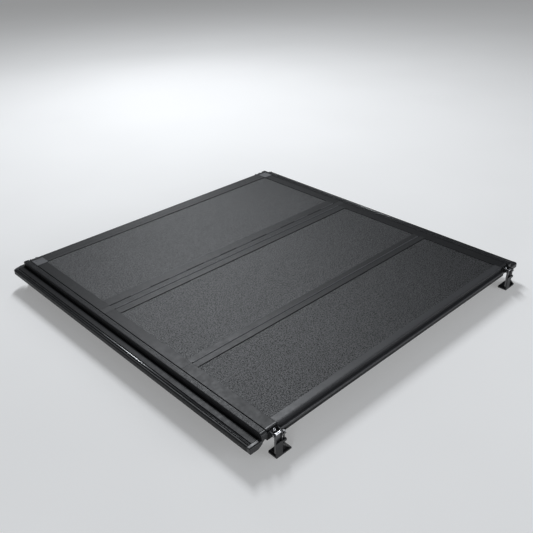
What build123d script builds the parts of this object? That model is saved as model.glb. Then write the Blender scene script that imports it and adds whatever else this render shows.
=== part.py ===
from build123d import *
import os

os.makedirs("parts", exist_ok=True)

# ---------------------------------------------------------------- dimensions
# Frame: X across the truck, +Y towards the cab, +Z up, millimetres.
# Origin: on the plane of the clamp feet, midway between both rails and
# midway between the foremost and rearmost clamp faces.

lip_z = 120.0            # top of all panel frames above the clamp feet
skin_z = 117.0           # textured skins sit 3 mm below the frame lips
frame_z = 88.0           # underside of the panel frames
shelf_z = 84.0           # rail shelf that carries the panels
wall = 2.0               # wall of the hollow frame extrusions

skin_x = 740.0           # half width of the textured skins
side_x = 792.0           # outer face of the panel side members
hair = 0.4               # half of the hairline seam between side members

y_tail = -845.0          # rear face of the tail member
y_skin_r0, y_skin_r1 = -810.0, -412.0
y_c = -378.0             # hinge line C, middle panel to rear panel
y_skin_m0, y_skin_m1 = -344.5, 117.0
y_b = 160.5              # hinge line B, spacer to middle panel
y_a = 200.5              # hinge line A, front panel to spacer
y_skin_f0, y_skin_f1 = 255.0, 766.0
y_head0, y_head1 = 768.0, 840.0

hinge_z = 120.4          # hinge axes, just above the lips
knuckle_r = 2.4
pin_r = 1.25
pin_bore_r = 1.30
leaf_in, leaf_out = 1.6, 2.8
leaf_x = 734.0
knuckles = 14

rail_y0, rail_y1 = -836.0, 844.0
rail_in, rail_out = 795.0, 877.0
ridge_out = 820.0        # outer wall of the ridge
cap_z = 95.6             # top of the outer lip and of the end caps
rail_bot = 72.0
ledge_z = 96.0

clamp_shift = 1535.0     # left clamp to right clamp, the same part on both sides
pivot_y, pivot_z = -867.0, 100.0
barrel_r = 5.0
journal_r = 3.0


def save(builder, label):
    builder.part.label = label
    export_step(builder.part, f"parts/{label}.step")


# ---------------------------------------------------------------- side rails
def rail(label, s):
    """Fixed side rail: panel shelf, ribbed ridge, undercut wall, ledge, outer lip."""
    with BuildPart() as p:
        with BuildSketch(Plane.XZ.offset(-rail_y0)):
            with BuildLine():
                Polyline(
                    (s * 757, 80), (s * 757, shelf_z), (s * rail_in, shelf_z),
                    (s * rail_in, lip_z), (s * ridge_out, lip_z), (s * ridge_out, 105.5),
                    (s * 816.5, 102), (s * 816.5, 92.2), (s * 829.5, 92.2),
                    (s * 829.5, ledge_z), (s * 853.5, ledge_z), (s * 853.5, 92),
                    (s * 868.5, 92), (s * 868.5, cap_z), (s * rail_out, cap_z),
                    (s * rail_out, rail_bot), (s * 840, rail_bot), (s * 806, 80), close=True)
            make_face()
        extrude(amount=-(rail_y1 - rail_y0))
        fillet(p.edges().filter_by(Axis.Y).filter_by(
            lambda e: abs(abs(e.center().X) - ridge_out) < 0.01 and e.center().Z > 119), 5.0)
        fillet(p.edges().filter_by(Axis.Y).filter_by(
            lambda e: abs(abs(e.center().X) - rail_out) < 0.01 and e.center().Z > 80), 5.0)
        fillet(p.edges().filter_by(Axis.Y).filter_by(
            lambda e: abs(abs(e.center().X) - rail_in) < 0.01 and e.center().Z > 119), 1.0)
        fillet(p.edges().filter_by(Axis.Y).filter_by(
            lambda e: abs(abs(e.center().X) - rail_out) < 0.01 and e.center().Z < 73), 2.0)
        # two hollow chambers
        with BuildSketch(Plane.XZ.offset(-rail_y0)):
            with Locations((s * 805.75, 100.0)):
                Rectangle(15.5, 32.0)
            with BuildLine():
                Polyline((s * 820, 80.2), (s * 840.5, 75.2), (s * 874, 75.2),
                         (s * 874, 89), (s * 820, 89), close=True)
            make_face()
        extrude(amount=-(rail_y1 - rail_y0), mode=Mode.SUBTRACT)
        # fine ribs along the top of the ridge
        with BuildSketch(Plane.XZ.offset(-rail_y0)):
            with Locations(*[(s * u, lip_z) for u in (799.0, 802.6, 806.2, 809.8, 813.4)]):
                Rectangle(1.4, 1.4)
        extrude(amount=-(rail_y1 - rail_y0), mode=Mode.SUBTRACT)
    save(p, label)


rail("rail_left", -1)
rail("rail_right", 1)

# glossy bead seals along the rail ledges
with BuildPart() as rail_bead_seals:
    with BuildSketch(Plane.XZ.offset(-rail_y0)):
        with Locations((-861.0, 94.6), (861.0, 94.6)):
            RectangleRounded(9.0, 5.2, 2.4)
    extrude(amount=-(rail_y1 - rail_y0))
save(rail_bead_seals, "rail_bead_seals")


# moulded caps on the rail ends
def nose(y_flat, y_end, z_top, z_bot, r):
    """Closed YZ outline with a rounded upper rear corner."""
    Polyline((y_end, z_top - r), (y_end, z_bot), (y_flat, z_bot), (y_flat, z_top),
             (y_end + r, z_top))
    RadiusArc((y_end + r, z_top), (y_end, z_top - r), -r)


def rear_cap(label, s):
    with BuildPart() as p:
        # nose of the ridge and nose of the ledge, each rounded over
        with BuildSketch(Plane.YZ.offset(s * rail_in)):
            with BuildLine():
                nose(rail_y0 - 1.2, -852.0, 119.0, rail_bot, 12.0)
            make_face()
        extrude(amount=s * (ridge_out - rail_in))
        fillet(p.edges().filter_by(
            lambda e: abs(abs(e.center().X) - ridge_out) < 0.01 and e.center().Z > 108
            and e.center().Y < rail_y0 - 1.5), 3.0)
        with BuildSketch(Plane.YZ.offset(s * ridge_out)):
            with BuildLine():
                nose(rail_y0 - 1.2, -855.0, cap_z, rail_bot, 9.0)
            make_face()
        extrude(amount=s * (rail_out - ridge_out))
        fillet(p.edges().filter_by(
            lambda e: abs(abs(e.center().X) - rail_out) < 0.01
            and e.center().Y < rail_y0 - 1.5), 3.0)
        # set-back neck that leaves a seam line against the extrusion
        with Locations((s * (rail_in + ridge_out) / 2, rail_y0 - 0.6, 96.0)):
            Box(ridge_out - rail_in - 2.4, 1.2, 43.6)
        with Locations((s * (ridge_out + rail_out) / 2, rail_y0 - 0.6, 83.8)):
            Box(rail_out - ridge_out, 1.2, 21.2)
        with Locations((s * rail_out, rail_y0 - 0.6, 83.8)):
            Box(2.4, 1.2, 30.0, mode=Mode.SUBTRACT)
        # lower inner corner follows the rail and is cut away behind it
        with BuildSketch(Plane.XZ.offset(-rail_y0)):
            with BuildLine():
                Polyline((s * 794, 80), (s * 806, 80), (s * 840, rail_bot),
                         (s * 840, 60), (s * 794, 60), close=True)
            make_face()
        extrude(amount=30.0, mode=Mode.SUBTRACT)
        with BuildSketch(Plane.XZ.offset(-rail_y0 + 2.0)):
            with BuildLine():
                Polyline((s * 794, 99.6), (s * 845, 69.2), (s * 845, 60),
                         (s * 794, 60), close=True)
            make_face()
        extrude(amount=30.0, mode=Mode.SUBTRACT)
    save(p, label)


rear_cap("rail_cap_rear_left", -1)
rear_cap("rail_cap_rear_right", 1)


def front_cap(label, s):
    with BuildPart() as p:
        with Locations((s * 807.5, 848.0, 99.5)):
            Box(25.0, 8.0, 39.0)
        fillet(p.edges().filter_by(Axis.Y).filter_by(
            lambda e: abs(abs(e.center().X) - ridge_out) < 0.01 and e.center().Z > 118), 4.5)
        fillet(p.edges().filter_by(Axis.X).filter_by(
            lambda e: e.center().Y > 851 and e.center().Z > 118), 4.0)
        with BuildSketch(Plane.XY.offset(rail_bot)):
            with BuildLine():
                Polyline((s * 812, rail_y1), (s * 876.5, rail_y1), (s * 876.5, 848),
                         (s * 864, 856), (s * 832, 866), (s * 812, 866), close=True)
            make_face()
        extrude(amount=cap_z - 0.2 - rail_bot)
    save(p, label)


front_cap("rail_cap_front_left", -1)
front_cap("rail_cap_front_right", 1)


# ---------------------------------------------------------------- panel frames
def side_member(label, s, y0, y1, board0, board1):
    """Hollow side extrusion with a retaining lip under the panel board."""
    with BuildPart() as p:
        with BuildSketch(Plane.XZ.offset(-y0)):
            with Locations((s * (skin_x + side_x) / 2, (frame_z + lip_z) / 2)):
                Rectangle(side_x - skin_x, lip_z - frame_z)
        extrude(amount=-(y1 - y0))
        with Locations((s * (skin_x - 5), (board0 + board1) / 2, frame_z + 0.5)):
            Box(10.0, board1 - board0, 1.0)
        fillet(p.edges().filter_by(Axis.Y).filter_by(
            lambda e: abs(abs(e.center().X) - side_x) < 0.01 and e.center().Z > 119), 2.2)
        fillet(p.edges().filter_by(Axis.Y).filter_by(
            lambda e: abs(abs(e.center().X) - skin_x) < 0.01 and e.center().Z > 119), 0.8)
        with BuildSketch(Plane.XZ.offset(-y0)):
            with Locations((s * (skin_x + side_x) / 2, (frame_z + lip_z) / 2)):
                Rectangle(side_x - skin_x - 2 * wall, lip_z - frame_z - 2 * wall)
        extrude(amount=-(y1 - y0), mode=Mode.SUBTRACT)
    save(p, label)


def cross_member(label, y0, y1, lips, half_x=skin_x, grooves=(), r_edges=0.8, r_rear=None,
                 flange=None):
    """Hollow cross extrusion; lips lists the sides (-1, +1) that hold a board."""
    with BuildPart() as p:
        with BuildSketch(Plane.YZ.offset(-half_x)):
            with Locations(((y0 + y1) / 2, (frame_z + lip_z) / 2)):
                Rectangle(y1 - y0, lip_z - frame_z)
        extrude(amount=2 * half_x)
        fillet(p.edges().filter_by(Axis.X).filter_by(
            lambda e: e.center().Z > 119 and e.center().Y > y1 - 0.01), r_edges)
        fillet(p.edges().filter_by(Axis.X).filter_by(
            lambda e: e.center().Z > 119 and e.center().Y < y0 + 0.01), r_rear or r_edges)
        with BuildSketch(Plane.YZ.offset(-half_x)):
            with Locations(((y0 + y1) / 2, (frame_z + lip_z) / 2)):
                Rectangle(y1 - y0 - 2 * wall, lip_z - frame_z - 2 * wall)
        extrude(amount=2 * half_x, mode=Mode.SUBTRACT)
        for side in lips:
            yl = y0 - 5 if side < 0 else y1 + 5
            with BuildSketch(Plane.YZ.offset(-skin_x + 10)):
                with Locations((yl, frame_z + 0.5)):
                    Rectangle(10.0, 1.0)
            extrude(amount=2 * (skin_x - 10))
        for g in grooves:
            with BuildSketch(Plane.YZ.offset(-half_x)):
                with Locations((g, lip_z)):
                    Rectangle(1.6, 1.2)
            extrude(amount=2 * half_x, mode=Mode.SUBTRACT)
        if flange is not None:
            # lower flange that carries the tailgate seal
            with BuildSketch(Plane.YZ.offset(-flange)):
                with BuildLine():
                    Polyline((y0, 101.4), (y0 - 12.4, 101.4), (y0 - 13.4, 102.8),
                             (y0 - 17, 102.8), (y0 - 17, 97), (y0 - 14.5, 97),
                             (y0 - 14.5, 99.5), (y0, 99.5), close=True)
                make_face()
            extrude(amount=2 * flange)
            fillet(p.edges().filter_by(Axis.X).filter_by(
                lambda e: e.center().Y < y0 - 13 and e.center().Z > 102.7), 1.2)
    save(p, label)


def board(label_skin, label_core, y0, y1):
    """Textured skin bonded on a foam core board with a thin backing."""
    with BuildPart() as skin:
        with Locations((0, (y0 + y1) / 2, skin_z - 0.5)):
            Box(2 * skin_x, y1 - y0, 1.0)
    save(skin, label_skin)
    with BuildPart() as core:
        with Locations((0, (y0 + y1) / 2, (frame_z + 1 + skin_z - 1) / 2)):
            Box(2 * skin_x, y1 - y0, skin_z - 1 - frame_z - 1)
    save(core, label_core)


def strips(label, y0, y1, z0):
    """Rubber strips under both side members, seated on the rail shelf."""
    with BuildPart() as p:
        with BuildSketch(Plane.XZ.offset(-y0)):
            with Locations((-776, (z0 + frame_z) / 2), (776, (z0 + frame_z) / 2)):
                RectangleRounded(24.0, frame_z - z0, 1.0)
        extrude(amount=-(y1 - y0))
    save(p, label)


# front panel, fixed to the rails
cross_member("front_header", y_head0, y_head1, (), half_x=side_x,
             grooves=(792.0, 826.0), r_edges=1.6)
side_member("front_side_left", -1, y_a + hair, y_head0, y_skin_f0, y_head0)
side_member("front_side_right", 1, y_a + hair, y_head0, y_skin_f0, y_head0)
cross_member("front_hinge_member", y_a + leaf_out, y_skin_f0, (1,), r_edges=0.5)
board("front_skin", "front_core", y_skin_f0, y_head0)
strips("front_seal_strips", y_a + 4, y_head0, shelf_z)

# middle panel
side_member("middle_side_left", -1, y_c + hair, y_b - hair, y_skin_m0, y_skin_m1)
side_member("middle_side_right", 1, y_c + hair, y_b - hair, y_skin_m0, y_skin_m1)
cross_member("middle_front_member", y_skin_m1, y_b - leaf_out, (-1,), r_edges=0.5)
cross_member("middle_rear_member", y_c + leaf_out, y_skin_m0, (1,), r_edges=0.5)
board("middle_skin", "middle_core", y_skin_m0, y_skin_m1)
strips("middle_seal_strips", y_c + 4, y_b - 4, shelf_z + 0.2)

# rear panel
side_member("rear_side_left", -1, -834.0, y_c - hair, y_skin_r0, y_skin_r1)
side_member("rear_side_right", 1, -834.0, y_c - hair, y_skin_r0, y_skin_r1)
cross_member("rear_front_member", y_skin_r1, y_c - leaf_out, (-1,), r_edges=0.5)
cross_member("rear_tail_member", y_tail, y_skin_r0, (1,), grooves=(-840.0,), r_rear=3.0,
             flange=738.0)
board("rear_skin", "rear_core", y_skin_r0, y_skin_r1)
strips("rear_seal_strips", -830.0, y_c - 4, shelf_z + 0.2)

# plastic plugs on the open rear ends of the side members
with BuildPart() as rear_end_plugs:
    for s in (-1, 1):
        with Locations((s * 766.05, -838.4, 103.9)):
            Box(51.1, 8.8, 31.4)
        with Locations((s * 766.0, -829.0, 104.0)):
            Box(46.0, 10.0, 26.0)
    fillet(rear_end_plugs.edges().filter_by(Axis.X).filter_by(
        lambda e: e.center().Y < -842.7 and e.center().Z > 119), 3.0)
    fillet(rear_end_plugs.edges().filter_by(
        lambda e: abs(abs(e.center().X) - 791.6) < 0.01 and e.center().Z > 119
        or abs(abs(e.center().X) - 791.6) < 0.01 and e.center().Y < -842), 1.5)
save(rear_end_plugs, "rear_end_plugs")

# soft seal against the tailgate
with BuildPart() as tailgate_seal:
    with BuildSketch(Plane.YZ.offset(-736.0)):
        with BuildLine():
            Polyline((-859.3, 99.3), (-849.0, 99.3), (-849.0, 88.0), (-852.0, 80.3),
                     (-860.5, 80.3), (-862.0, 83.5), (-862.0, 91.0), (-859.3, 95.5), close=True)
        make_face()
    extrude(amount=1472.0)
save(tailgate_seal, "tailgate_seal")

# seal against the bed bulkhead
with BuildPart() as bulkhead_seal:
    with BuildSketch(Plane.YZ.offset(-742.0)):
        with Locations((820.0, 80.0)):
            RectangleRounded(30.0, 16.0, 6.0)
        with Locations((820.0, 80.0)):
            RectangleRounded(22.0, 8.0, 3.0, mode=Mode.SUBTRACT)
    extrude(amount=1484.0)
save(bulkhead_seal, "bulkhead_seal")


# corner caps over the header joints
def corner_cap(label, s):
    with BuildPart() as p:
        with Locations((s * 765.0, 786.0, 121.5)):
            Box(58.0, 60.0, 3.0)
        fillet(p.edges().filter_by(Axis.Z), 2.0)
        fillet(p.faces().sort_by(Axis.Z)[-1].edges(), 1.4)
        with Locations((s * 780.0, 798.0, 123.0)):
            CounterBoreHole(2.5, 5.0, 1.2, depth=3.0)
    save(p, label)


corner_cap("corner_cap_left", -1)
corner_cap("corner_cap_right", 1)

with BuildPart() as corner_cap_screws:
    with Locations((-780.0, 798.0, 122.4), (780.0, 798.0, 122.4)):
        Cylinder(4.6, 1.2)
    with Locations((-780.0, 798.0, 120.9), (780.0, 798.0, 120.9)):
        Cylinder(2.4, 1.8)
    with Locations((-780.0, 798.0, 123.0), (780.0, 798.0, 123.0)):
        Box(5.0, 0.9, 0.8, mode=Mode.SUBTRACT)
        Box(0.9, 5.0, 0.8, mode=Mode.SUBTRACT)
save(corner_cap_screws, "corner_cap_screws")


# ---------------------------------------------------------------- hinges
pitch = 2 * leaf_x / knuckles


def leaf_solid(ya, s, parity):
    """One hinge leaf: a plate on the member's end face and its rolled knuckles."""
    with BuildPart() as p:
        with Locations((0, ya + s * (leaf_in + leaf_out) / 2, (98.0 + 118.3) / 2)):
            Box(2 * leaf_x, leaf_out - leaf_in, 20.3)
        centres = [-leaf_x + pitch * (i + 0.5) for i in range(parity, knuckles, 2)]
        with Locations(*[(c, ya + s * (leaf_in + leaf_out) / 2, 119.0) for c in centres]):
            Box(pitch - 1.0, leaf_out - leaf_in, 2.8)
        with Locations(*[(c, ya, hinge_z) for c in centres]):
            Cylinder(knuckle_r, pitch - 1.0, rotation=(0, 90, 0))
        with Locations(*[(c, ya, hinge_z) for c in centres]):
            Cylinder(pin_bore_r, pitch - 1.0, rotation=(0, 90, 0), mode=Mode.SUBTRACT)
    return p


hinge_a_leaf_front = leaf_solid(y_a, 1, 0)
save(hinge_a_leaf_front, "hinge_a_leaf_front")
hinge_c_leaf_rear = leaf_solid(y_c, -1, 1)
save(hinge_c_leaf_rear, "hinge_c_leaf_rear")

spacer_leaf_a = leaf_solid(y_a, -1, 1)
spacer_leaf_b = leaf_solid(y_b, 1, 0)
with BuildPart() as spacer_leaves:
    add([spacer_leaf_a.part, spacer_leaf_b.part])
save(spacer_leaves, "spacer_leaves")

middle_leaf_b = leaf_solid(y_b, -1, 1)
middle_leaf_c = leaf_solid(y_c, 1, 0)
with BuildPart() as middle_leaves:
    add([middle_leaf_b.part, middle_leaf_c.part])
save(middle_leaves, "middle_leaves")


def hinge_pin(label, ya):
    with BuildPart() as p:
        with Locations((0, ya, hinge_z)):
            Cylinder(pin_r, 2 * leaf_x + 2.0, rotation=(0, 90, 0))
    save(p, label)


hinge_pin("hinge_a_pin", y_a)
hinge_pin("hinge_b_pin", y_b)
hinge_pin("hinge_c_pin", y_c)

# spacer bar between the two front hinge lines
with BuildPart() as hinge_spacer:
    with BuildSketch(Plane.YZ.offset(-side_x)):
        with Locations(((y_a + y_b) / 2, (frame_z + lip_z) / 2)):
            Rectangle(y_a - y_b - 2 * hair, lip_z - frame_z)
    extrude(amount=2 * side_x)
    fillet(hinge_spacer.edges().filter_by(Axis.Y).filter_by(
        lambda e: abs(abs(e.center().X) - side_x) < 0.01 and e.center().Z > 119), 2.2)
    with Locations((0, y_a - 1.4, 104), (0, y_b + 1.4, 104)):
        Box(2 * skin_x, 2.8, 33.0, mode=Mode.SUBTRACT)
    with Locations((0, (y_a + y_b) / 2, 104)):
        Box(2 * side_x, y_a - y_b - 2 * leaf_out - 2 * wall, lip_z - frame_z - 2 * wall,
            mode=Mode.SUBTRACT)
save(hinge_spacer, "hinge_spacer")


# ---------------------------------------------------------------- bed clamps
# Written once for the left rear corner; dx moves it across, sy = -1 turns it
# about to the front end.
def place(p, dx, sy):
    moved = p.part if sy > 0 else mirror(p.part, about=Plane.XZ, mode=Mode.PRIVATE)
    return Pos(dx, 0, 0) * moved


def clamp_bracket(label, dx, sy):
    with BuildPart() as raw:
        # base under the rail shelf, riser past the panel ends, two ears
        with Locations((-769.0, -823.25, 78.0)):
            Box(48.0, 50.5, 4.0)
        with Locations((-767.0, -846.5, 93.0)):
            Box(52.0, 4.0, 34.0)
        fillet(raw.edges().filter_by(Axis.Y).filter_by(
            lambda e: e.center().Z > 109), 5.0)
        for x0 in (-779.5, -742.5):
            with BuildSketch(Plane.YZ.offset(x0 - 1.5)):
                with BuildLine():
                    Polyline((-848.5, 90), (-848.5, 109), (-865, 108), (-873, 103),
                             (-873, 97), (-867, 94.5), close=True)
                make_face()
                with Locations((pivot_y, pivot_z)):
                    Circle(journal_r + 0.02, mode=Mode.SUBTRACT)
            extrude(amount=3.0)
        with Locations((-760.0, -846.5, 104.5)):
            Cylinder(3.1, 4.0, rotation=(90, 0, 0), mode=Mode.SUBTRACT)
    placed = place(raw, dx, sy)
    with BuildPart() as p:
        add(placed)
    save(p, label)


def clamp_arm(label, dx, sy):
    with BuildPart() as raw:
        # U channel: web towards the bed, flanges hung on the pivot barrel
        with Locations((-761.0, -867.0, 56.0)):
            Box(31.0, 2.5, 76.0)
        for x0 in (-775.5, -746.5):
            with BuildSketch(Plane.YZ.offset(x0 - 1.0)):
                with Locations((-869.875, 57.0)):
                    Rectangle(8.25, 78.0)
                with Locations((pivot_y, pivot_z)):
                    Circle(8.0)
                with Locations((pivot_y, pivot_z)):
                    Circle(barrel_r + 0.05, mode=Mode.SUBTRACT)
            extrude(amount=2.0)
        # lug that carries the draw screw
        with Locations((-738.0, -871.0, 89.0)):
            Box(19.0, 11.0, 6.0)
        with Locations((-735.0, -871.0, 89.0)):
            Cylinder(3.55, 6.0, mode=Mode.SUBTRACT)
    placed = place(raw, dx, sy)
    with BuildPart() as p:
        add(placed)
    save(p, label)


def clamp_jaw(label, dx, sy):
    with BuildPart() as raw:
        # stem plate, tongue in the channel, foot
        with Locations((-763.0, -876.5, 33.0)):
            Box(30.0, 3.0, 66.0)
        with Locations((-761.0, -871.875, 34.0)):
            Box(26.0, 6.25, 56.0)
        with Locations((-741.0, -855.5, 3.0)):
            Box(74.0, 45.0, 6.0)
        fillet(raw.edges().filter_by(Axis.Z).filter_by(
            lambda e: e.center().Y > -834), 6.0)
        # diagonal strap from the stem to the tip of the foot, and its web
        with BuildSketch(Plane.XZ.offset(875.0)):
            with BuildLine():
                Polyline((-704, 6), (-708.9, 6), (-748, 45.1), (-748, 50), close=True)
            make_face()
        extrude(amount=3.0)
        with BuildSketch(Plane.XZ.offset(850.0)):
            with BuildLine():
                Polyline((-704, 6), (-708.9, 6), (-744.5, 41.6), (-744.5, 46.5), close=True)
            make_face()
        extrude(amount=25.0)
        with BuildSketch(Plane.XZ.offset(863.5)):
            with BuildLine():
                Polyline((-708, 6), (-744.5, 6), (-744.5, 42.5), close=True)
            make_face()
        extrude(amount=3.0)
        with Locations((-739.0, -876.5, 59.0)):
            Box(22.0, 3.0, 10.0)
        with Locations((-736.25, -870.5, 59.0)):
            Box(16.5, 11.0, 10.0)
        with Locations((-735.0, -871.0, 59.0)):
            Cylinder(3.55, 10.0, mode=Mode.SUBTRACT)
        # ribbed gripping pad on the foot
        with Locations(*[(-741.0, y, 6.4) for y in (-840, -844, -848, -852)]):
            Box(60.0, 1.6, 0.8)
    placed = place(raw, dx, sy)
    with BuildPart() as p:
        add(placed)
    save(p, label)


def clamp_screw(label, dx, sy):
    with BuildPart() as raw:
        with Locations((-735.0, -871.0, 68.0)):
            Cylinder(3.5, 52.0)
        with BuildSketch(Plane.XY.offset(92.0)):
            with Locations((-735.0, -871.0)):
                RegularPolygon(5.8, 6)
        extrude(amount=8.0)
        fillet(raw.faces().sort_by(Axis.Z)[-1].edges(), 1.0)
    placed = place(raw, dx, sy)
    with BuildPart() as p:
        add(placed)
    save(p, label)


corners = {"rear_left": (0.0, 1), "rear_right": (clamp_shift, 1),
           "front_left": (0.0, -1), "front_right": (clamp_shift, -1)}
for corner_name, (dx, sy) in corners.items():
    clamp_bracket(f"clamp_bracket_{corner_name}", dx, sy)
    clamp_arm(f"clamp_arm_{corner_name}", dx, sy)
    clamp_jaw(f"clamp_jaw_{corner_name}", dx, sy)
    clamp_screw(f"clamp_screw_{corner_name}", dx, sy)

# polished pivot barrels, one across each bracket
with BuildPart() as barrel:
    with Locations((-761.0, pivot_y, pivot_z)):
        Cylinder(barrel_r, 31.0, rotation=(0, 90, 0))
    with Locations((-761.0, pivot_y, pivot_z)):
        Cylinder(journal_r, 40.0, rotation=(0, 90, 0))
barrels = [place(barrel, dx, sy) for dx, sy in corners.values()]
with BuildPart() as clamp_barrels:
    add(barrels)
save(clamp_barrels, "clamp_barrels")

# dome head bolts that hold the brackets
with BuildPart() as bolt:
    with Locations((-760.0, -852.0, 104.5)):
        Cylinder(6.6, 7.0, rotation=(90, 0, 0))
    fillet(bolt.edges().filter_by(lambda e: e.center().Y < -855), 6.0)
    with Locations((-760.0, -846.4, 104.5)):
        Cylinder(3.0, 4.2, rotation=(90, 0, 0))
bolts = [place(bolt, dx, sy) for dx, sy in corners.values()]
with BuildPart() as clamp_bolts:
    add(bolts)
save(clamp_bolts, "clamp_bolts")
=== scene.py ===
import bpy, bmesh, math
from mathutils import Vector, Matrix, noise


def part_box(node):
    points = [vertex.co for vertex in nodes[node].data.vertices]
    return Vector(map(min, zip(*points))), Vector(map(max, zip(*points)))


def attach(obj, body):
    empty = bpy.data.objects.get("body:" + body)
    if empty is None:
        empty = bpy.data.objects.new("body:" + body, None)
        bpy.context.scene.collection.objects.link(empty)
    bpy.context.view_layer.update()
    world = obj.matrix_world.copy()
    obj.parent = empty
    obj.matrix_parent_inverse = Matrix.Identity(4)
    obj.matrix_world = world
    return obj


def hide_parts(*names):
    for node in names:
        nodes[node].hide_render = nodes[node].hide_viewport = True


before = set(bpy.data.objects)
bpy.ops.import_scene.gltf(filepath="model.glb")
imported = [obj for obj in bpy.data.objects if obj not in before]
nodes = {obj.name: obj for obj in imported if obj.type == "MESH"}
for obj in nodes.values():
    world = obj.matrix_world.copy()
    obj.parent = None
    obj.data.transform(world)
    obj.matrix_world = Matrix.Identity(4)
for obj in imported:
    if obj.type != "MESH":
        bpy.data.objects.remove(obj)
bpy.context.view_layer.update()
col = bpy.context.scene.collection

# ------------------------------------------------------------------ camera
cam_data = bpy.data.cameras.new("camera")
cam_data.sensor_width = 36.0
cam_data.sensor_fit = "HORIZONTAL"
cam_data.lens = 46.06
cam_data.clip_start = 0.05
cam_data.clip_end = 60.0
cam = bpy.data.objects.new("camera", cam_data)
col.objects.link(cam)
right = Vector((0.72117, -0.69245, -0.02031))
down = Vector((-0.35677, -0.34612, -0.86771))
fwd = Vector((0.59381, 0.63301, -0.49667))
cam.matrix_world = Matrix((
    (right.x, -down.x, -fwd.x, -1.9587),
    (right.y, -down.y, -fwd.y, -2.1081),
    (right.z, -down.z, -fwd.z, 1.7390),
    (0, 0, 0, 1)))
bpy.context.scene.camera = cam

# ------------------------------------------------------------------ stage and light
def plane(name, size, z, mat):
    me = bpy.data.meshes.new(name)
    h = size / 2
    me.from_pydata([(-h, -h, z), (h, -h, z), (h, h, z), (-h, h, z)], [], [(0, 1, 2, 3)])
    o = bpy.data.objects.new(name, me)
    col.objects.link(o)
    me.materials.append(mat)
    return o


def area(name, loc, aim, size, size_y, energy, color=(1, 1, 1), spread=180):
    d = bpy.data.lights.new(name, "AREA")
    d.shape = "RECTANGLE"
    d.size, d.size_y = size, size_y
    d.energy = energy
    d.color = color
    d.spread = math.radians(spread)
    o = bpy.data.objects.new(name, d)
    col.objects.link(o)
    o.location = loc
    o.rotation_euler = (Vector(aim) - Vector(loc)).to_track_quat("-Z", "Y").to_euler()
    return o


# ------------------------------------------------------------------ materials
class Tree:
    def __init__(self, name):
        self.mat = bpy.data.materials.new(name)
        self.mat.use_nodes = True
        self.nt = self.mat.node_tree
        self.bsdf = next(n for n in self.nt.nodes if n.type == "BSDF_PRINCIPLED")
        self.coord = self.nt.nodes.new("ShaderNodeTexCoord")
        self.obj = self.coord.outputs["Object"]

    def node(self, kind, **vals):
        n = self.nt.nodes.new(kind)
        for k, v in vals.items():
            if hasattr(n, k):
                setattr(n, k, v)
            else:
                n.inputs[k].default_value = v
        return n

    def link(self, a, b):
        self.nt.links.new(a, b)

    def mapping(self, scale=(1, 1, 1)):
        m = self.node("ShaderNodeMapping")
        m.inputs["Scale"].default_value = scale
        self.link(self.obj, m.inputs["Vector"])
        return m.outputs["Vector"]

    def noise(self, scale, detail=3.0, rough=0.55, vec=None, dist=0.0):
        n = self.node("ShaderNodeTexNoise")
        n.inputs["Scale"].default_value = scale
        n.inputs["Detail"].default_value = detail
        n.inputs["Roughness"].default_value = rough
        n.inputs["Distortion"].default_value = dist
        self.link(vec or self.obj, n.inputs["Vector"])
        return n.outputs["Fac"]

    def voronoi(self, scale, vec=None, feature="F1", smooth=None):
        n = self.node("ShaderNodeTexVoronoi")
        n.feature = feature
        n.inputs["Scale"].default_value = scale
        self.link(vec or self.obj, n.inputs["Vector"])
        return n.outputs["Distance"]

    def ramp(self, fac, stops):
        r = self.node("ShaderNodeValToRGB")
        els = r.color_ramp.elements
        while len(els) < len(stops):
            els.new(0.5)
        for e, (p, c) in zip(els, stops):
            e.position = p
            e.color = (*c, 1) if len(c) == 3 else c
        self.link(fac, r.inputs["Fac"])
        return r.outputs["Color"]

    def maprange(self, fac, a, b, c, d):
        n = self.node("ShaderNodeMapRange")
        for k, v in zip(("From Min", "From Max", "To Min", "To Max"), (a, b, c, d)):
            n.inputs[k].default_value = v
        self.link(fac, n.inputs["Value"])
        return n.outputs["Result"]

    def mix(self, fac, a, b, mode="MIX"):
        n = self.node("ShaderNodeMix")
        n.data_type = "RGBA"
        n.blend_type = mode
        if isinstance(fac, (int, float)):
            n.inputs[0].default_value = fac
        else:
            self.link(fac, n.inputs[0])
        for sock, v in ((n.inputs[6], a), (n.inputs[7], b)):
            if isinstance(v, tuple):
                sock.default_value = (*v, 1)
            else:
                self.link(v, sock)
        return n.outputs[2]

    def math(self, op, a, b=None, clamp=False):
        n = self.node("ShaderNodeMath")
        n.operation = op
        n.use_clamp = clamp
        for i, v in enumerate((a, b)):
            if v is None:
                continue
            if isinstance(v, (int, float)):
                n.inputs[i].default_value = v
            else:
                self.link(v, n.inputs[i])
        return n.outputs[0]

    def bump(self, height, strength, distance, normal=None):
        n = self.node("ShaderNodeBump")
        n.inputs["Strength"].default_value = strength
        n.inputs["Distance"].default_value = distance
        self.link(height, n.inputs["Height"])
        if normal is not None:
            self.link(normal, n.inputs["Normal"])
        return n.outputs["Normal"]

    def edges(self, radius):
        """0 on flat faces, 1 on sharp edges, with the softened normal."""
        b = self.node("ShaderNodeBevel")
        b.samples = 4
        b.inputs["Radius"].default_value = radius
        g = self.node("ShaderNodeNewGeometry")
        d = self.node("ShaderNodeVectorMath")
        d.operation = "DOT_PRODUCT"
        self.link(b.outputs["Normal"], d.inputs[0])
        self.link(g.outputs["Normal"], d.inputs[1])
        return self.maprange(d.outputs["Value"], 1.0, 0.80, 0.0, 1.0), b.outputs["Normal"]

    def set(self, **vals):
        for k, v in vals.items():
            s = self.bsdf.inputs[k.replace("_", " ")]
            if isinstance(v, (int, float)):
                s.default_value = v
            elif isinstance(v, tuple):
                s.default_value = (*v, 1) if len(v) == 3 and s.type == "RGBA" else v
            else:
                self.link(v, s)


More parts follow.
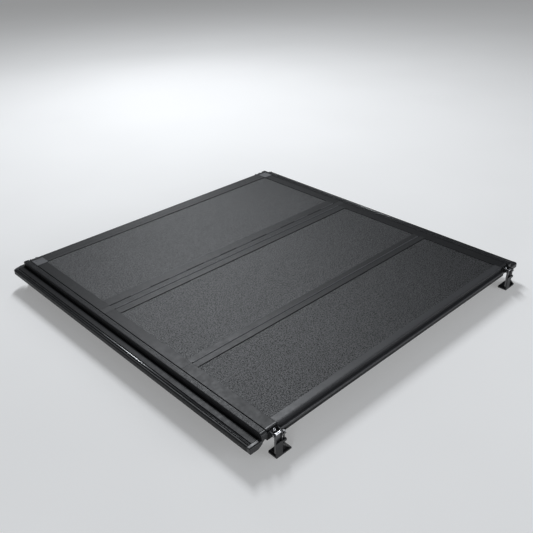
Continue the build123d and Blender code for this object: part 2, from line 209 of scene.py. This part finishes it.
def g(v):
    return (v, v * 1.01, v * 1.06)


def textured_skin(name, lo, hi):
    """Grained powder texture: coarse speckle, orange-peel bumps, slow tone drift."""
    t = Tree(name)
    grain = t.noise(215.0, 3.0, 0.68)
    speck = t.voronoi(300.0)
    fine = t.noise(800.0, 2.0, 0.6)
    slow = t.noise(2.6, 3.0, 0.5)
    m = t.math("ADD", t.math("MULTIPLY", t.maprange(grain, 0.40, 0.60, 0.0, 1.0), 0.72),
               t.math("MULTIPLY", t.maprange(speck, 0.05, 0.75, 0.0, 1.0), 0.28))
    c = t.ramp(m, [(0.15, g(lo)), (0.5, g((lo + hi) / 2)), (0.85, g(hi))])
    c = t.mix(t.maprange(slow, 0.3, 0.7, 0.0, 0.3), c, g(lo * 1.1))
    h = t.math("ADD", t.math("MULTIPLY", grain, 0.9), t.math("MULTIPLY", fine, 0.35))
    t.set(Base_Color=c, Roughness=t.maprange(grain, 0.3, 0.7, 0.43, 0.51),
          Normal=t.bump(h, 0.85, 0.0019), Specular_IOR_Level=t.maprange(m, 0.15, 0.85, 0.06, 0.94))
    return t.mat


def powder_coat(name, base, rough=(0.36, 0.5), wear=0.5, bevel=0.0009, grain=0.35,
                metallic=0.0, along=None, spec=0.5, lower_step_shade=None):
    """Satin powder coat with fine orange peel, faint draw marks and worn edges.
    lower_step_shade: painted shade on the lower step of an extrusion, a darker base colour and less specular below
    the step."""
    t = Tree(name)
    e, nrm = t.edges(bevel)
    fine = t.noise(1500.0, 2.0, 0.5)
    peel = t.noise(380.0, 3.0, 0.5)
    slow = t.noise(5.0, 4.0, 0.55)
    c = t.ramp(slow, [(0.3, g(base * 0.86)), (0.7, g(base * 1.14))])
    c = t.mix(t.maprange(fine, 0.35, 0.75, 0.0, 0.25), c, g(base * 1.5))
    worn = t.math("MULTIPLY", e, t.maprange(t.noise(60.0, 4.0, 0.7), 0.42, 0.62, 0.15, 1.0))
    c = t.mix(t.math("MULTIPLY", worn, wear), c, g(0.16))
    h = t.math("ADD", peel, t.math("MULTIPLY", fine, 0.35))
    if along is not None:
        scale = {"x": (2.0, 900.0, 900.0), "y": (900.0, 2.0, 900.0), "z": (900.0, 900.0, 2.0)}[along]
        h = t.math("ADD", h, t.math("MULTIPLY", t.noise(1.0, 2.0, 0.5, vec=t.mapping(scale)), 0.5))
    r = t.maprange(t.noise(45.0, 4.0, 0.6), 0.3, 0.7, rough[0], rough[1])
    r = t.math("SUBTRACT", r, t.math("MULTIPLY", worn, 0.12))
    # painted shade: below object z 0.099-0.105 m the base colour is darkened and the specular cut, standing in for
    # the shade under the ridge
    if lower_step_shade is not None:
        xyz = t.node("ShaderNodeSeparateXYZ")
        t.link(t.obj, xyz.inputs["Vector"])
        step_shade_mask = t.maprange(xyz.outputs["Z"], 0.099, 0.105, lower_step_shade, 1.0)
        c = t.mix(step_shade_mask, g(base * 0.9), c)
        spec = t.math("MULTIPLY", step_shade_mask, spec)
    t.set(Base_Color=c, Roughness=r, Metallic=metallic, Specular_IOR_Level=spec,
          Normal=t.bump(h, grain, 0.00018, nrm))
    return t.mat


def rubber(name, base, rough=(0.55, 0.75), coat=0.0, along=None):
    t = Tree(name)
    e, nrm = t.edges(0.0008)
    fine = t.noise(900.0, 3.0, 0.6)
    slow = t.noise(18.0, 4.0, 0.6)
    c = t.ramp(slow, [(0.3, g(base * 0.8)), (0.7, g(base * 1.3))])
    c = t.mix(t.math("MULTIPLY", e, 0.35), c, g(base * 2.6))
    dust = t.maprange(t.noise(120.0, 5.0, 0.75), 0.55, 0.8, 0.0, 0.3)
    c = t.mix(dust, c, g(base * 2.2))
    h = fine
    if along is not None:
        scale = {"x": (3.0, 700.0, 700.0), "y": (700.0, 3.0, 700.0)}[along]
        h = t.math("ADD", h, t.noise(1.0, 2.0, 0.5, vec=t.mapping(scale)))
    t.set(Base_Color=c, Roughness=t.maprange(slow, 0.3, 0.7, rough[0], rough[1]),
          Normal=t.bump(h, 0.3, 0.0002, nrm), Coat_Weight=coat, Coat_Roughness=0.12)
    return t.mat


def plastic(name, base, rough=(0.32, 0.46)):
    t = Tree(name)
    e, nrm = t.edges(0.0009)
    vdi = t.voronoi(1300.0)
    slow = t.noise(25.0, 3.0, 0.5)
    c = t.ramp(slow, [(0.3, g(base * 0.9)), (0.7, g(base * 1.12))])
    c = t.mix(t.math("MULTIPLY", e, 0.3), c, g(base * 2.4))
    t.set(Base_Color=c, Roughness=t.maprange(slow, 0.3, 0.7, rough[0], rough[1]),
          Normal=t.bump(vdi, 0.16, 0.00012, nrm))
    return t.mat


def metal(name, base, rough=(0.1, 0.25), scale=(600.0, 30.0, 600.0), edge=0.4, scratch=0.25):
    """Bare or plated metal: directional polish marks, small scratches, dulled patches."""
    t = Tree(name)
    e, nrm = t.edges(0.0005)
    brush = t.noise(1.0, 3.0, 0.6, vec=t.mapping(scale))
    blot = t.noise(70.0, 5.0, 0.65)
    c = t.ramp(blot, [(0.3, (base * 0.82, base * 0.82, base * 0.84)), (0.7, (base, base, base * 1.01))])
    c = t.mix(t.math("MULTIPLY", e, edge), c, (min(1.0, base * 1.25),) * 3)
    r = t.math("ADD", t.maprange(blot, 0.3, 0.75, rough[0], rough[1]),
               t.math("MULTIPLY", brush, 0.06))
    t.set(Base_Color=c, Metallic=1.0, Roughness=r, Normal=t.bump(brush, scratch, 0.00006, nrm))
    return t.mat


def core_board_mat(name):
    """Black backing sheet of the honeycomb boards with a fine weave print-through."""
    t = Tree(name)
    wx = t.node("ShaderNodeTexWave")
    wx.inputs["Scale"].default_value = 95.0
    wx.bands_direction = "X"
    wy = t.node("ShaderNodeTexWave")
    wy.inputs["Scale"].default_value = 95.0
    wy.bands_direction = "Y"
    t.link(t.obj, wx.inputs["Vector"])
    t.link(t.obj, wy.inputs["Vector"])
    w = t.math("MULTIPLY", wx.outputs["Fac"], wy.outputs["Fac"])
    cells = t.voronoi(110.0)
    slow = t.noise(6.0, 4.0, 0.6)
    c = t.ramp(slow, [(0.3, g(0.022)), (0.7, g(0.036))])
    c = t.mix(t.math("MULTIPLY", w, 0.4), c, g(0.05))
    h = t.math("ADD", t.math("MULTIPLY", w, 0.5), t.math("MULTIPLY", cells, 0.8))
    t.set(Base_Color=c, Roughness=t.maprange(slow, 0.3, 0.7, 0.5, 0.65), Normal=t.bump(h, 0.3, 0.0004))
    return t.mat


M = {
    "skin": textured_skin("skin_grain", 0.003, 0.036),
    "frame_y": powder_coat("frame_satin_side", 0.012, (0.43, 0.52), along="y", spec=0.26),
    "frame_x": powder_coat("frame_satin_cross", 0.017, (0.45, 0.54), along="x", spec=0.33),
    # rail: painted shade on the ledge below the ridge (darker, less specular lower step)
    "rail": powder_coat("rail_satin", 0.022, (0.38, 0.48), along="y", spec=0.30, lower_step_shade=0.45),
    "core": core_board_mat("core_backing"),
    # tail: the cross-frame powder coat with a lighter base, painted light on the tail member's shaded rear face
    "tail": powder_coat("frame_satin_tail_painted_light", 0.045, (0.42, 0.52), along="x", spec=0.5),
    # hinge: lighter copy of the frame coat, painted light that lifts the shaded sides of the hinge knuckles
    "hinge": powder_coat("hinge_satin", 0.090, (0.45, 0.54), wear=0.3, along="x", spec=0.6),
    # darker copy of the hinge coat on the front leaf of hinge A: painted shade for the dark line along that hinge
    "hinge_painted_shade": powder_coat("hinge_satin_painted_shade", 0.036, (0.50, 0.60), wear=0.3, along="x", spec=0.45),
    "seal": rubber("seal_rubber", 0.010, along="x"),
    "seal_y": rubber("seal_rubber_side", 0.010, along="y"),
    # bead: the seal rubber with a lighter base, a painted highlight on the bead; its lower roughness and clear coat
    # are real gloss
    "bead": rubber("bead_gloss_painted_highlight", 0.030, (0.30, 0.40), coat=0.6, along="y"),
    "plastic": plastic("cap_plastic", 0.020),
    "cap_light": plastic("corner_cap_plastic", 0.10, (0.46, 0.56)),
    "chrome": metal("chrome_polish", 0.88, (0.16, 0.26), edge=0.2),
    "black_steel": powder_coat("bracket_black", 0.012, (0.35, 0.5), wear=0.8, grain=0.45, spec=0.4),
    "clamp_steel": metal("clamp_zinc", 0.20, (0.34, 0.48), scale=(500.0, 500.0, 40.0)),
    "clamp_dark": powder_coat("jaw_black_steel", 0.022, (0.38, 0.52), wear=0.9, grain=0.4, spec=0.45),
    "pin": metal("pin_steel", 0.35, (0.25, 0.4)),
    "screw": metal("screw_black_oxide", 0.10, (0.26, 0.4), scale=(400.0, 400.0, 60.0), edge=0.3),
}

RULES = [
    (lambda n: n.endswith("_skin"), "skin"),
    (lambda n: n.endswith("_core"), "core"),
    (lambda n: n in ("hinge_a_pin", "hinge_b_pin", "hinge_c_pin"), "pin"),
    # hinge A front leaf takes the darker copy, a painted shade line
    (lambda n: n == "hinge_a_leaf_front", "hinge_painted_shade"),
    (lambda n: "leaf" in n or "leaves" in n, "hinge"),
    (lambda n: n == "rail_bead_seals", "bead"),
    (lambda n: n.endswith("_seal_strips"), "seal_y"),
    (lambda n: "seal" in n, "seal"),
    (lambda n: n in ("corner_cap_left", "corner_cap_right"), "cap_light"),
    (lambda n: n.startswith("rail_cap") or n == "rear_end_plugs", "plastic"),
    (lambda n: n in ("corner_cap_screws", "clamp_bolts", "clamp_barrels"), "chrome"),
    (lambda n: n.startswith("clamp_bracket"), "black_steel"),
    (lambda n: n.startswith("clamp_jaw"), "clamp_dark"),
    (lambda n: n.startswith("clamp_screw"), "screw"),
    (lambda n: n.startswith("clamp_"), "clamp_steel"),
    (lambda n: n.startswith("rail_"), "rail"),
    (lambda n: n == "rear_tail_member", "tail"),
    (lambda n: "_side_" in n, "frame_y"),
    (lambda n: True, "frame_x"),
]
for n, o in nodes.items():
    key = next(k for f, k in RULES if f(n))
    if not o.material_slots:
        o.data.materials.append(M[key])
    for sl in o.material_slots:
        sl.material = M[key]


# ------------------------------------------------------------------ soft seals
def mesh_piece(name, bm, mat, body, node):
    bmesh.ops.recalc_face_normals(bm, faces=bm.faces)
    me = bpy.data.meshes.new(name)
    bm.to_mesh(me)
    bm.free()
    me.materials.append(mat)
    o = bpy.data.objects.new(name, me)
    col.objects.link(o)
    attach(o, body)
    if node:
        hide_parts(node)
    return o


def arc(cu, cv, ru, rv, a0, a1, n):
    """Points of an elliptic arc, degrees, counted along the section outline."""
    return [(cu + ru * math.cos(math.radians(a0 + (a1 - a0) * i / n)),
             cv + rv * math.sin(math.radians(a0 + (a1 - a0) * i / n))) for i in range(n + 1)]


def run_section(bm, section, axis, c0, c1, stations=2, hole=None):
    """Extruded seal: a closed section in millimetres run from c0 to c1, ends closed."""
    def at(c, p):
        return ((c, p[0], p[1]) if axis == "x" else (p[0], c, p[1]))

    def ring(pts, c):
        return [bm.verts.new([v / 1000.0 for v in at(c, p)]) for p in pts]

    cs = [c0 + (c1 - c0) * i / (stations - 1) for i in range(stations)]
    outer = [ring(section, c) for c in cs]
    inner = [ring(hole, c) for c in cs] if hole else None
    for rings in (outer, inner):
        if rings is None:
            continue
        for r0, r1 in zip(rings, rings[1:]):
            n = len(r0)
            for i in range(n):
                f = bm.faces.new((r0[i], r0[(i + 1) % n], r1[(i + 1) % n], r1[i]))
                f.smooth = True
    for k in (0, -1):
        if inner is None:
            bm.faces.new(outer[k])
        else:
            n = len(outer[k])
            for i in range(n):
                bm.faces.new((outer[k][i], outer[k][(i + 1) % n],
                              inner[k][(i + 1) % n], inner[k][i]))


# tailgate seal: clip strip, waist and hollow-looking bulb
bm = bmesh.new()
tail = ([(-859.1, 99.3), (-849.2, 99.3), (-849.0, 98.9), (-849.0, 96.2), (-849.6, 95.4), (-850.6, 94.6)]
        + [(p[0], p[1]) for p in arc(-855.5, 87.2, 6.5, 6.9, 40, -220, 30)]
        + [(-859.6, 94.6), (-859.3, 95.4), (-859.3, 98.9)])
run_section(bm, tail, "x", -736.0, 736.0, 3)
tail_seal = mesh_piece("tailgate_seal_bulb", bm, M["seal"], "rear_panel", "tailgate_seal")

# bead seals in the rail ledges: foot, shoulders and a glossy round bead
bm = bmesh.new()
for s in (-1, 1):
    sec = ([(s * 861.0 - 4.5, 92.0), (s * 861.0 + 4.5, 92.0), (s * 861.0 + 4.5, 92.7), (s * 861.0 + 3.9, 93.3)]
           + [(s * 861.0 + 4.2 * math.copysign(abs(math.cos(a)) ** 0.8, math.cos(a)),
               94.1 + 3.1 * abs(math.sin(a)) ** 0.7) for a in (math.pi * i / 20 for i in range(21))]
           + [(s * 861.0 - 3.9, 93.3), (s * 861.0 - 4.5, 92.7)])
    run_section(bm, sec, "y", -836.0, 844.0, 3)
mesh_piece("rail_bead_seal_runs", bm, M["bead"], "fixed_frame", "rail_bead_seals")

# seal strips under the side members: flat back, three soft lobes below
def lobed(cx, z0, z1):
    pts = [(cx - 12.0, z1), (cx - 12.0, z0 + 1.4)]
    for i in range(3):
        c = cx - 8.0 + 8.0 * i
        pts += arc(c, z0 + 1.3, 3.6, 1.3, 180, 360, 10)
    return pts + [(cx + 12.0, z0 + 1.4), (cx + 12.0, z1)]

for nm, body, y0, y1, z0 in (("front", "fixed_frame", 204.5, 768.0, 84.0),
                             ("middle", "middle_panel", -374.0, 156.5, 84.2),
                             ("rear", "rear_panel", -830.0, -382.0, 84.2)):
    lo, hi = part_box(nm + "_seal_strips")
    bm = bmesh.new()
    for s in (-1, 1):
        run_section(bm, lobed(s * 776.0, lo[2] * 1000.0, hi[2] * 1000.0), "y",
                    lo[1] * 1000.0, hi[1] * 1000.0, 3)
    mesh_piece(nm + "_seal_strip_runs", bm, M["seal_y"], body, nm + "_seal_strips")

# hollow bulb against the bulkhead with two ribs underneath
bm = bmesh.new()
N = 40
outer, inner = [], []
for i in range(N):
    a = 2 * math.pi * i / N
    ca, sa = math.cos(a), math.sin(a)
    k = (abs(ca) ** 2.6 + abs(sa) ** 2.6) ** (-1 / 2.6)
    outer.append((820.0 + 15.0 * k * ca, 80.0 + 8.0 * k * sa + (0.5 * (1 + math.cos(14 * a)) if sa < -0.3 else 0.0)))
    inner.append((820.0 + 11.4 * k * ca, 80.0 + 4.4 * k * sa))
run_section(bm, outer, "x", -742.0, 742.0, 3, hole=inner)
mesh_piece("bulkhead_seal_bulb", bm, M["seal"], "fixed_frame", "bulkhead_seal")

# ------------------------------------------------------------------ floor, world, lamps
ft = Tree("floor_pale")
fn = ft.noise(1.2, 3.0, 0.5)
ft.set(Base_Color=ft.ramp(fn, [(0.3, (0.78, 0.78, 0.775)), (0.7, (0.81, 0.81, 0.805))]), Roughness=0.9,
       Specular_IOR_Level=0.1, Emission_Color=(1.0, 1.0, 0.995), Emission_Strength=0.24)
plane("studio_floor", 40.0, -0.0002, ft.mat)

bpy.context.scene.view_settings.view_transform = "Standard"
world = bpy.data.worlds.new("world")
bpy.context.scene.world = world
world.use_nodes = True
bg = world.node_tree.nodes["Background"]
bg.inputs["Color"].default_value = (0.86, 0.92, 1.0, 1)
bg.inputs["Strength"].default_value = 0.08

area("key_low", (2.00, 3.56, 2.2), (0.0, 0.5, 0.1), 0.8, 2.0, 13, (0.93, 0.96, 1.0))
area("key_high", (2.10, 3.35, 5.2), (-0.8, -0.6, 0.1), 0.8, 2.4, 248, (0.93, 0.96, 1.0))
area("rear_fill", (1.2, -4.2, 1.6), (0.0, -0.8, 0.1), 2.5, 1.5, 36, (0.93, 0.96, 1.0))
area("edge_left", (-3.4, -2.6, 0.9), (-0.5, -0.3, 0.08), 1.2, 0.5, 24, (0.93, 0.96, 1.0))
area("top_soft", (-0.6, -0.4, 3.8), (-0.1, 0.0, 0.1), 3.2, 3.2, 3, (0.93, 0.96, 1.0))
